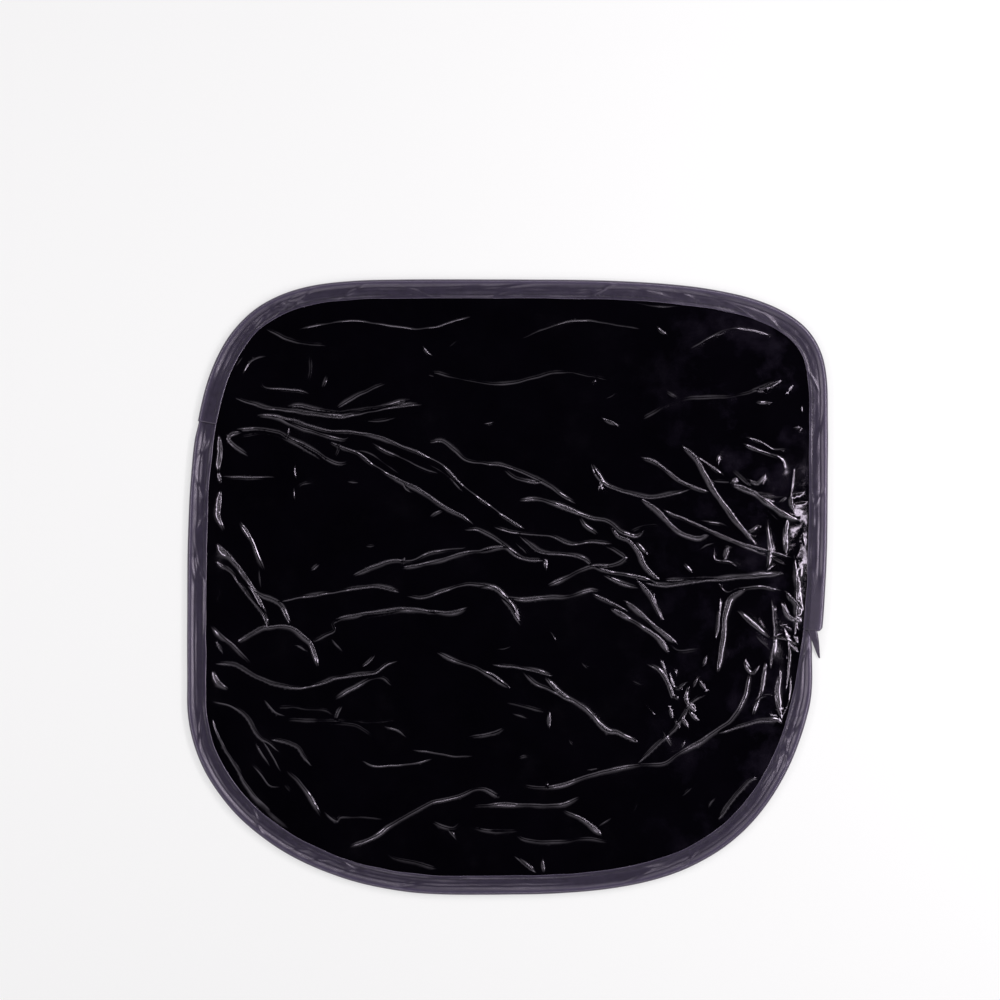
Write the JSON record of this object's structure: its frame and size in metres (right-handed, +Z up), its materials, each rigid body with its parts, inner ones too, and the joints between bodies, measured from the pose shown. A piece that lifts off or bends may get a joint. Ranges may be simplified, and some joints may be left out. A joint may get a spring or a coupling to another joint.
{
  "type": "car window sunshade",
  "caption": "Flat static-cling car side window sunshade: dark creased film stretched on a spring wire hoop inside a folded fabric rim with lapped ends.",
  "frame": {"origin": "middle of the outline, on the surface that the shade lies on", "axes": "+X towards the side with the open lap, +Y towards the top edge, +Z up out of the shade's face"},
  "size_m": [0.402, 0.386, 0.004],
  "materials": {
    "cling_film": "glossy black soft film with fine creases",
    "binding_tape": "matte charcoal woven tape with a faint sheen",
    "spring_steel": "drawn spring wire",
    "sleeve_metal": "plain tinned sleeve"
  },
  "bodies": {
    "root": {"film_panel": "cling_film", "upper_binding": "binding_tape", "lower_binding": "binding_tape", "spring_wire": "spring_steel", "wire_sleeve": "sleeve_metal"}
  },
  "joints": []
}
